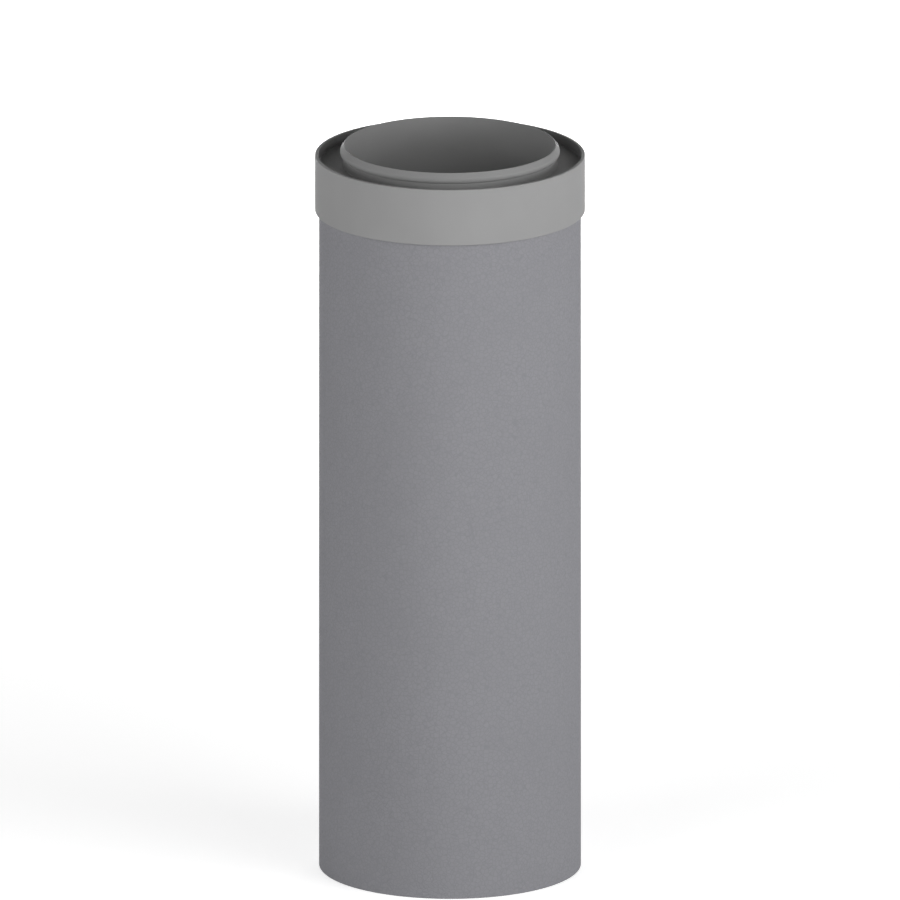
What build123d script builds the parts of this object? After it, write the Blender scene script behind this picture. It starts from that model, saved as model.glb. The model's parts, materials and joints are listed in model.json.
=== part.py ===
from build123d import *

import os

# An insulated ventilation duct: a length of thick-walled foam tube that stands on its
# plain end, with a push-on coupling seated on its chamfered upper end.
# Millimetres, +Z up along the tube, origin at the centre of the lower end.

# Foam tube
duct_length = 500.0
duct_bore_radius = 80.0
duct_wall = 15.0
duct_chamfer = 3.0
duct_outer_radius = duct_bore_radius + duct_wall

# Coupling skirt, which goes over the outside of the tube
skirt_clearance = 0.5
skirt_wall = 2.5
skirt_height = 42.0
groove_depth = 7.5
skirt_inner_radius = duct_outer_radius + skirt_clearance
skirt_outer_radius = skirt_inner_radius + skirt_wall

# Coupling spigot, which goes into the bore of the tube
lip_clearance = 0.3
lip_overhang = 1.8
lip_cone = 3.6
lip_land = 1.2
lip_underside = 2.9
spigot_wall = 1.4
spigot_edge = 0.6
spigot_reach = 7.0
lip_radius = duct_bore_radius - lip_clearance
spigot_outer_radius = lip_radius - lip_overhang
spigot_inner_radius = spigot_outer_radius - spigot_wall
spigot_tip_radius = spigot_inner_radius + spigot_edge

# Heights in the coupling's upper half, measured from the middle of the ring
skirt_rim = skirt_height / 2
groove_floor = skirt_rim - groove_depth
spigot_tip = skirt_rim + spigot_reach
lip_cone_foot = spigot_tip - lip_cone
lip_land_foot = lip_cone_foot - lip_land
lip_foot = lip_land_foot - lip_underside

# The tube's end bears on the floor of the coupling's lower groove
coupling_middle = duct_length + groove_floor

# One solid foam wall, turned about the tube's axis
with BuildPart() as duct:
    with BuildSketch(Plane.XZ) as duct_section:
        with BuildLine() as duct_outline:
            Polyline(
                (duct_bore_radius, 0),
                (duct_outer_radius, 0),
                (duct_outer_radius, duct_length - duct_chamfer),
                (duct_outer_radius - duct_chamfer, duct_length),
                (duct_bore_radius, duct_length),
                close=True,
            )
        make_face()
    revolve(axis=Axis.Z)

# The ring's section: a thick middle with a thin skirt outside and a lipped spigot inside,
# drawn for the upper half and mirrored for the lower half. The lip leads in with a cone
# from the spigot's thin edge, has a short land that grips the bore, and rounds under.
ring_plane = Plane(origin=(0, 0, coupling_middle), x_dir=(1, 0, 0), z_dir=(0, -1, 0))

with BuildPart() as coupling:
    with BuildSketch(ring_plane) as coupling_section:
        with BuildLine() as coupling_outline:
            Polyline(
                (spigot_inner_radius, 0),
                (spigot_inner_radius, spigot_tip),
                (spigot_tip_radius, spigot_tip),
                (lip_radius, lip_cone_foot),
                (lip_radius, lip_land_foot),
            )
            EllipticalCenterArc(
                center=(spigot_outer_radius, lip_land_foot),
                x_radius=lip_overhang,
                y_radius=lip_underside,
                start_angle=270,
                arc_size=90,
            )
            Polyline(
                (spigot_outer_radius, lip_foot),
                (spigot_outer_radius, groove_floor),
                (skirt_inner_radius, groove_floor),
                (skirt_inner_radius, skirt_rim),
                (skirt_outer_radius, skirt_rim),
                (skirt_outer_radius, 0),
                (spigot_inner_radius, 0),
            )
        make_face()
        mirror(about=Plane.XZ)
    revolve(axis=Axis.Z)

duct.part.label = "duct"
coupling.part.label = "coupling"

os.makedirs("parts", exist_ok=True)
export_step(duct.part, "parts/duct.step")
export_step(coupling.part, "parts/coupling.step")
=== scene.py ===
# %% [markdown]
# # An insulated ventilation duct and its push-on coupling
# The duct is a half-metre length of thick-walled foam tube. A moulded ring, the coupling,
# sits on its upper end, ready for the next length. Both are turned shapes, so this lesson
# draws each one as half a section and spins it about the duct's axis.
#
# The packed CAD model comes in first. It fixes where everything is and how large, so every
# piece made below is measured from it and nothing has to be fitted by eye. Its record also
# lists the mounts, the places where other parts fit, and their sizes are the fits themselves.

# %% Load the frame
import bpy
import bmesh
import json
import math
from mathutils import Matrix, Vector


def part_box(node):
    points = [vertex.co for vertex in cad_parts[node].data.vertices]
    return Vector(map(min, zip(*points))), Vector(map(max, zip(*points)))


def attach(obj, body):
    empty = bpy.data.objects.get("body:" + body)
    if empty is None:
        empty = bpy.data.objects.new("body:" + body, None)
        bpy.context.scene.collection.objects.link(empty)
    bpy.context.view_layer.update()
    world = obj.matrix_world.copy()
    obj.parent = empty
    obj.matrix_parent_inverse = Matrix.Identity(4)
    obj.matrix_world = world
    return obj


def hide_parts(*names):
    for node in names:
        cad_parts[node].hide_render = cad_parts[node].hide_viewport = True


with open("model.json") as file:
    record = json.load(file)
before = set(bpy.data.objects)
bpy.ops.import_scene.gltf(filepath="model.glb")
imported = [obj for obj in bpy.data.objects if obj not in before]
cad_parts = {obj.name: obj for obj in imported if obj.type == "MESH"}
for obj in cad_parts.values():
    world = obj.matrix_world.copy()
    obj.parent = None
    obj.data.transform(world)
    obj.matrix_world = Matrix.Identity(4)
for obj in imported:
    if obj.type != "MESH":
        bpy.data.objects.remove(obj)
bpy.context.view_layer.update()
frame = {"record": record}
MM = 0.001
mounts = {mount["name"]: mount for mount in frame["record"]["mounts"]}
print("mounts", sorted(mounts))

# %% Read a mount's sizes, in millimetres
def mount_radius(name):
    return mounts[name]["dims"]["r_mm"]

def mount_length(name):
    return mounts[name]["dims"]["length_mm"]

def mount_height(name):
    return round(mounts[name]["pos_m"][2] / MM, 2)

print("spigot lip radius", mount_radius("upper_spigot"), "height", mount_height("upper_spigot"))

# %% [markdown]
# ## A profile that knows its own corners
# A section could be typed in with every rounded corner worked out point by point. It is
# easier to give only the sharp corners, each with the rounding that the real edge has, and
# let a vertex bevel on the bare outline make the arcs. Spinning that outline once round
# gives a closed skin, because the outline itself is closed.
#
# The spin hands its faces back in an order that changes from run to run. Sorting them by
# their lowest and highest corner numbers makes every run give the same mesh.
#
# The Weighted Normal modifier keeps the long flat walls flat in shading, while the small
# rounded edges between them catch the light as they do on a moulded piece.

# %% Spin a section about the axis
STEPS_ROUND = 192
ARC_SEGMENTS = 4
MERGE_DISTANCE = 1e-6
FLAT_WALL_WEIGHT = 100
RANK_STEP = 1_000_000

def corner_rank(face):
    numbers = [corner.index for corner in face.verts]
    return min(numbers) * RANK_STEP + max(numbers)

def turned_piece(name, corners):
    section = bmesh.new()
    points = [section.verts.new((r * MM, 0.0, z * MM)) for r, z, _ in corners]
    for here, there in zip(points, points[1:] + points[:1]):
        section.edges.new((here, there))
    for point, (_, _, rounding) in zip(points, corners):
        bmesh.ops.bevel(section, geom=[point], offset=rounding * MM, offset_type="OFFSET",
                        affect="VERTICES", segments=ARC_SEGMENTS, profile=0.5, material=-1)
    bmesh.ops.spin(section, geom=section.verts[:] + section.edges[:], cent=(0, 0, 0),
                   axis=(0, 0, 1), angle=math.tau, steps=STEPS_ROUND, use_merge=True)
    bmesh.ops.remove_doubles(section, verts=section.verts[:], dist=MERGE_DISTANCE)
    section.verts.index_update()
    section.faces.sort(key=corner_rank)
    bmesh.ops.recalc_face_normals(section, faces=section.faces[:])
    mesh = bpy.data.meshes.new(name)
    section.to_mesh(mesh)
    section.free()
    mesh.shade_smooth()
    piece = bpy.data.objects.new(name, mesh)
    bpy.context.scene.collection.objects.link(piece)
    flat_walls = piece.modifiers.new("flat walls", "WEIGHTED_NORMAL")
    flat_walls.weight = FLAT_WALL_WEIGHT
    print(name, "faces", len(mesh.polygons))
    return piece

# %% [markdown]
# ## The foam duct
# The tube is 190 mm outside and 160 mm inside. Its lower end is cut square and its upper
# end has a small chamfer, which leads the coupling's skirt on. Moulded foam never has a
# knife edge, so each corner gets a rounding of about half a millimetre.

# %% Duct sizes and section, in millimetres
duct_low, duct_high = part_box("duct")
DUCT_FOOT = round(duct_low.z / MM, 2)
DUCT_TOP = round(duct_high.z / MM, 2)
DUCT_OUTER = round(duct_high.x / MM, 2)
DUCT_BORE = mount_radius("lower_bore")
DUCT_CHAMFER = 3.0
FOOT_ROUNDING = 0.6
RIM_ROUNDING = 0.5
duct_corners = [
    (DUCT_BORE, DUCT_FOOT, FOOT_ROUNDING),
    (DUCT_OUTER, DUCT_FOOT, FOOT_ROUNDING),
    (DUCT_OUTER, DUCT_TOP - DUCT_CHAMFER, RIM_ROUNDING),
    (DUCT_OUTER - DUCT_CHAMFER, DUCT_TOP, RIM_ROUNDING),
    (DUCT_BORE, DUCT_TOP, RIM_ROUNDING),
]
foam_duct = turned_piece("foam_duct", duct_corners)
print("duct", DUCT_TOP - DUCT_FOOT, "long,", 2 * DUCT_OUTER, "outside,", 2 * DUCT_BORE, "inside")

# %% [markdown]
# ## The coupling
# The ring is the same at both ends, so only its upper half is listed. A thin skirt goes
# over the duct's outside. Inside it a spigot stands a little taller. Its lip flares out
# as a cone, grips the bore with a short land and turns under from shoulder to heel.
# Between skirt and spigot is the groove that takes the foam's end. The lower half is the
# same list read backwards with its heights turned over.

# %% Coupling radii, in millimetres
ring_low, ring_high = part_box("coupling")
SKIRT_OUTER = round(ring_high.x / MM, 2)
SKIRT_INNER = mount_radius("upper_groove")
LIP_RADIUS = mount_radius("upper_spigot")
SPIGOT_INNER = mount_radius("air_passage")
TIP_WIDTH = 0.6
SPIGOT_WALL = 1.4
HEEL_OVERHANG = 0.7
SPIGOT_EDGE = SPIGOT_INNER + TIP_WIDTH
SPIGOT_OUTER = SPIGOT_INNER + SPIGOT_WALL
LIP_HEEL = SPIGOT_OUTER + HEEL_OVERHANG
print("skirt", SKIRT_INNER, SKIRT_OUTER, "spigot", SPIGOT_INNER, LIP_RADIUS)

# %% Coupling heights above the ring's middle, in millimetres
RING_MIDDLE = round((ring_low.z + ring_high.z) / 2 / MM, 2)
SPIGOT_TIP = round(ring_high.z / MM, 2) - RING_MIDDLE
GROOVE_FLOOR = mount_height("upper_groove") - RING_MIDDLE
SKIRT_RIM = GROOVE_FLOOR + mount_length("upper_groove")
LIP_LAND_MIDDLE = mount_height("upper_spigot") - RING_MIDDLE
LIP_CONE_FOOT = LIP_LAND_MIDDLE + mount_length("upper_spigot") / 2
SHOULDER_DROP = 2.4
FOOT_DROP = 4.1
LIP_SHOULDER = LIP_CONE_FOOT - SHOULDER_DROP
LIP_FOOT = LIP_CONE_FOOT - FOOT_DROP
print("ring middle", RING_MIDDLE, "spigot tip", SPIGOT_TIP, "skirt rim", SKIRT_RIM)

# %% Coupling section: radius, height and rounding of each corner
upper_half = [
    (SPIGOT_INNER, SPIGOT_TIP, 0.25),
    (SPIGOT_EDGE, SPIGOT_TIP, 0.25),
    (LIP_RADIUS, LIP_CONE_FOOT, 0.8),
    (LIP_RADIUS, LIP_SHOULDER, 1.0),
    (LIP_HEEL, LIP_FOOT, 0.5),
    (SPIGOT_OUTER, LIP_FOOT, 0.15),
    (SPIGOT_OUTER, GROOVE_FLOOR, 0.6),
    (SKIRT_INNER, GROOVE_FLOOR, 0.6),
    (SKIRT_INNER, SKIRT_RIM, 0.5),
    (SKIRT_OUTER, SKIRT_RIM, 0.7),
]
lower_half = [(r, -z, rounding) for r, z, rounding in reversed(upper_half)]
ring_corners = [(r, RING_MIDDLE + z, rounding) for r, z, rounding in upper_half + lower_half]
coupling_ring = turned_piece("coupling_ring", ring_corners)

# %% [markdown]
# ## What every finish needs
# Both finishes are built from patterns that read Object coordinates, so a pattern keeps its
# real size on the wall, on the end and in the bore. The steps are the same each time: lay a
# pattern, turn it into tones, spread it over a range of roughness and press it into the
# surface as relief. A small class holds one material and those four steps. What is the same
# all over, such as the specular level, is set straight on the shader.

# %% Finish: one material and the steps that make it
class Finish:
    def __init__(self, name, specular):
        self.material = bpy.data.materials.new(name)
        self.material.use_nodes = True
        self.nodes = self.material.node_tree.nodes
        self.links = self.material.node_tree.links
        self.nodes.clear()
        output = self.nodes.new("ShaderNodeOutputMaterial")
        self.surface = self.nodes.new("ShaderNodeBsdfPrincipled")
        self.surface.inputs["Specular IOR Level"].default_value = specular
        self.links.new(self.surface.outputs["BSDF"], output.inputs["Surface"])
        self.place = self.nodes.new("ShaderNodeTexCoord")

    def pattern(self, kind, per_metre):
        node = self.nodes.new(kind)
        node.inputs["Scale"].default_value = per_metre
        self.links.new(self.place.outputs["Object"], node.inputs["Vector"])
        return node

    def tones(self, amount, stops):
        ramp = self.nodes.new("ShaderNodeValToRGB")
        elements = ramp.color_ramp.elements
        elements.remove(elements[-1])
        elements[0].position, elements[0].color = stops[0]
        for position, colour in stops[1:]:
            elements.new(position).color = colour
        self.links.new(amount, ramp.inputs["Fac"])
        self.links.new(ramp.outputs["Color"], self.surface.inputs["Base Color"])

    def roughness(self, amount, low, high):
        spread = self.nodes.new("ShaderNodeMapRange")
        spread.inputs["To Min"].default_value = low
        spread.inputs["To Max"].default_value = high
        self.links.new(amount, spread.inputs["Value"])
        self.links.new(spread.outputs["Result"], self.surface.inputs["Roughness"])

    def relief(self, amount, strength, depth_mm):
        bump = self.nodes.new("ShaderNodeBump")
        bump.inputs["Strength"].default_value = strength
        bump.inputs["Distance"].default_value = depth_mm * MM
        self.links.new(amount, bump.inputs["Height"])
        self.links.new(bump.outputs["Normal"], self.surface.inputs["Normal"])

print("steps of a finish", [step for step in vars(Finish) if not step.startswith("_")])

# %% [markdown]
# ## Foam finish
# The duct is foamed from beads that swell and fuse in the mould. What shows is a dull
# grey skin with a faint net of bead outlines, two to four millimetres across. A Voronoi
# pattern cut by the surface is just that: cells of foam seen on a cut.
#
# One Voronoi node gives each bead a shade of its own and a second one measures how far
# away the next seam is, in shares of a bead. Their product drives one colour ramp, so the
# seams come out a little darker than the darkest bead. The same distance makes the seams
# rough and low.

# %% Lay the beads and their seams
BEADS_PER_METRE = 330.0
CLOUDS_PER_METRE = 14.0
CLOUD_DETAIL = 3.0
BEAD_CONTRAST = 0.45
SEAM_SHARE = 0.14
foam = Finish("grey duct foam", specular=0.08)

beads = foam.pattern("ShaderNodeTexVoronoi", BEADS_PER_METRE)
bead_shade = foam.nodes.new("ShaderNodeSeparateColor")
foam.links.new(beads.outputs["Color"], bead_shade.inputs["Color"])
clouds = foam.pattern("ShaderNodeTexNoise", CLOUDS_PER_METRE)
clouds.inputs["Detail"].default_value = CLOUD_DETAIL
bead_tone = foam.nodes.new("ShaderNodeMath")
bead_tone.operation = "MULTIPLY_ADD"
bead_tone.inputs[1].default_value = BEAD_CONTRAST
foam.links.new(bead_shade.outputs["Red"], bead_tone.inputs[0])
foam.links.new(clouds.outputs["Fac"], bead_tone.inputs[2])

bead_edges = foam.pattern("ShaderNodeTexVoronoi", BEADS_PER_METRE)
bead_edges.feature = "DISTANCE_TO_EDGE"
seams = foam.nodes.new("ShaderNodeMapRange")
seams.interpolation_type = "SMOOTHSTEP"
seams.inputs["From Max"].default_value = SEAM_SHARE
foam.links.new(bead_edges.outputs["Distance"], seams.inputs["Value"])
print("bead size in mm", round(1000 / BEADS_PER_METRE, 1))

# %% Colour, roughen and emboss the foam
SEAM_GREY = (0.240, 0.240, 0.256, 1.0)
DARK_BEAD_GREY = (0.255, 0.255, 0.272, 1.0)
LIGHT_BEAD_GREY = (0.269, 0.269, 0.287, 1.0)
foam_shade = foam.nodes.new("ShaderNodeMath")
foam_shade.operation = "MULTIPLY"
foam.links.new(bead_tone.outputs["Value"], foam_shade.inputs[0])
foam.links.new(seams.outputs["Result"], foam_shade.inputs[1])
foam.tones(foam_shade.outputs["Value"],
           [(0.0, SEAM_GREY), (0.35, DARK_BEAD_GREY), (1.0, LIGHT_BEAD_GREY)])
foam.roughness(seams.outputs["Result"], low=0.95, high=0.82)
foam.relief(seams.outputs["Result"], strength=0.4, depth_mm=0.15)
foam_duct.data.materials.append(foam.material)
print(foam.material.name, "nodes", len(foam.nodes))

# %% [markdown]
# ## Moulded plastic finish
# The coupling is harder and lighter in colour. A mould gives it a fine, even spark
# texture, much finer than the foam's beads, and only a faint sheen. Two noises are
# enough: a fine one for the grain and a broad one for a trace of uneven tone. The low
# specular level matters most at the ring's sides, where the skirt turns away: a shinier
# plastic would mirror the white background there and lose its outline.

# %% Make the coupling's finish
GRAINS_PER_METRE = 1800.0
DRIFTS_PER_METRE = 22.0
DARK_RING_GREY = (0.302, 0.302, 0.302, 1.0)
LIGHT_RING_GREY = (0.318, 0.318, 0.318, 1.0)
plastic = Finish("grey moulded plastic", specular=0.04)
grain = plastic.pattern("ShaderNodeTexNoise", GRAINS_PER_METRE)
drift = plastic.pattern("ShaderNodeTexNoise", DRIFTS_PER_METRE)
plastic.tones(drift.outputs["Fac"], [(0.3, DARK_RING_GREY), (0.7, LIGHT_RING_GREY)])
plastic.roughness(grain.outputs["Fac"], low=0.52, high=0.64)
plastic.relief(grain.outputs["Fac"], strength=0.5, depth_mm=0.12)
coupling_ring.data.materials.append(plastic.material)
print(plastic.material.name, "nodes", len(plastic.nodes))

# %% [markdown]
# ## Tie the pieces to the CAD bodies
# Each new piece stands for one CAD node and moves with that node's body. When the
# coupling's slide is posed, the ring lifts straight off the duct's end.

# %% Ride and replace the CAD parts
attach(foam_duct, "duct")
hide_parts("duct")
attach(coupling_ring, "coupling")
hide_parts("coupling")

# %% [markdown]
# ## Floor and background
# The floor should look white and still keep the duct's soft shadow. An ordinary pale
# diffuse floor does the second. For rays that come straight from the camera, through glass
# or off a mirror it also glows, which lifts its unshaded part to white and sends no extra
# light to the object. The helper that picks out those rays serves the world as well.

# %% Lay the floor
FLOOR_HALF_WIDTH = 8.0
floor_sheet = bmesh.new()
bmesh.ops.create_grid(floor_sheet, x_segments=1, y_segments=1, size=FLOOR_HALF_WIDTH)
floor_mesh = bpy.data.meshes.new("floor")
floor_sheet.to_mesh(floor_mesh)
floor_sheet.free()
floor = bpy.data.objects.new("floor", floor_mesh)
bpy.context.scene.collection.objects.link(floor)
print("floor size", [round(v, 2) for v in floor.dimensions])

# %% Make the floor pale
FLOOR_GREY = (0.8, 0.8, 0.8, 1.0)
FLOOR_GLOW = 0.64

def background_rays(nodes, links):
    rays = nodes.new("ShaderNodeLightPath")
    straight = nodes.new("ShaderNodeMath")
    straight.operation = "MAXIMUM"
    links.new(rays.outputs["Is Camera Ray"], straight.inputs[0])
    links.new(rays.outputs["Is Transmission Ray"], straight.inputs[1])
    mirrored = nodes.new("ShaderNodeMath")
    mirrored.operation = "MAXIMUM"
    links.new(straight.outputs["Value"], mirrored.inputs[0])
    links.new(rays.outputs["Is Glossy Ray"], mirrored.inputs[1])
    return mirrored.outputs["Value"]

pale = bpy.data.materials.new("pale floor")
pale.use_nodes = True
nodes, links = pale.node_tree.nodes, pale.node_tree.links
nodes.clear()
output = nodes.new("ShaderNodeOutputMaterial")
paper = nodes.new("ShaderNodeBsdfDiffuse")
paper.inputs["Color"].default_value = FLOOR_GREY
lift = nodes.new("ShaderNodeMath")
lift.operation = "MULTIPLY"
lift.inputs[1].default_value = FLOOR_GLOW
links.new(background_rays(nodes, links), lift.inputs[0])
glow = nodes.new("ShaderNodeEmission")
links.new(lift.outputs["Value"], glow.inputs["Strength"])
both = nodes.new("ShaderNodeAddShader")
links.new(paper.outputs["BSDF"], both.inputs[0])
links.new(glow.outputs["Emission"], both.inputs[1])
links.new(both.outputs["Shader"], output.inputs["Surface"])
floor_mesh.materials.append(pale)
print("floor glow", FLOOR_GLOW)

# %% [markdown]
# ## Studio light
# The picture shows the walls brighter than the faces that look up, so most of the light
# comes from low, wide panels: two at the front, the right one stronger, and one behind
# for the far side. Two weaker panels at the front hang higher and look into the open end.
# A faint even world fills what is left. Rays that show the background see plain white.

# %% Light the world
WHITE = (1.0, 1.0, 1.0, 1.0)
WORLD_FILL = 0.02
scene = bpy.context.scene
world = bpy.data.worlds.new("studio")
world.use_nodes = True
scene.world = world
nodes, links = world.node_tree.nodes, world.node_tree.links
nodes.clear()
output = nodes.new("ShaderNodeOutputWorld")
fill = nodes.new("ShaderNodeBackground")
fill.inputs["Color"].default_value = WHITE
fill.inputs["Strength"].default_value = WORLD_FILL
white = nodes.new("ShaderNodeBackground")
white.inputs["Color"].default_value = WHITE
choose = nodes.new("ShaderNodeMixShader")
links.new(background_rays(nodes, links), choose.inputs["Fac"])
links.new(fill.outputs["Background"], choose.inputs[1])
links.new(white.outputs["Background"], choose.inputs[2])
links.new(choose.outputs["Shader"], output.inputs["Surface"])
print("world fill", WORLD_FILL)

# %% Stand the panels around the object: azimuth, elevation and watts
PANEL_AIM = Vector((0.0, 0.0, 0.3))
PANEL_DISTANCE = 2.5
PANEL_WIDTH = 2.0
PANEL_HEIGHT = 1.0
PANELS = {
    "panel_front_left": (-50, 7, 27.0),
    "panel_front_right": (58, 7, 38.5),
    "panel_high_left": (-45, 30, 9.0),
    "panel_high_right": (45, 30, 16.0),
    "panel_back": (180, 3, 48.0),
}

def towards(azimuth, elevation):
    turn, rise = math.radians(azimuth), math.radians(elevation)
    level = math.cos(rise)
    return Vector((math.sin(turn) * level, -math.cos(turn) * level, math.sin(rise)))

for name, (azimuth, elevation, watts) in PANELS.items():
    lamp = bpy.data.lights.new(name, "AREA")
    lamp.shape = "RECTANGLE"
    lamp.size = PANEL_WIDTH
    lamp.size_y = PANEL_HEIGHT
    lamp.energy = watts
    panel = bpy.data.objects.new(name, lamp)
    outward = towards(azimuth, elevation)
    panel.location = PANEL_AIM + PANEL_DISTANCE * outward
    panel.rotation_euler = (-outward).to_track_quat("-Z", "Y").to_euler()
    panel.visible_camera = False
    scene.collection.objects.link(panel)
print("panels", len(PANELS), "watts", sum(watts for _, _, watts in PANELS.values()))

# %% [markdown]
# ## Camera
# The duct's sides run exactly parallel in the picture and both ends have the same
# flatness, so the view is a parallel projection. The ends' flatness, about 0.27, gives
# the height of the view: its arcsine, 15.5 degrees. The duct's known width then gives the
# width of the view, about 0.65 m, which leaves room above for the lifted coupling.

# %% Set the view
VIEW_ELEVATION = 15.5
VIEW_AIM = Vector((0.0, 0.0, 0.3117))
VIEW_WIDTH = 0.6528
VIEW_DISTANCE = 2.0
camera_data = bpy.data.cameras.new("camera")
camera_data.type = "ORTHO"
camera_data.ortho_scale = VIEW_WIDTH
camera = bpy.data.objects.new("camera", camera_data)
backward = towards(0, VIEW_ELEVATION)
camera.location = VIEW_AIM + VIEW_DISTANCE * backward
camera.rotation_euler = (-backward).to_track_quat("-Z", "Y").to_euler()
scene.collection.objects.link(camera)
scene.camera = camera
scene.view_settings.view_transform = "Standard"
print("camera height", round(camera.location.z, 3))

# %% [markdown]
# ## Bring the scene up to date
# The dressed pieces must keep the CAD model's size.

# %% Update the view layer
bpy.context.view_layer.update()
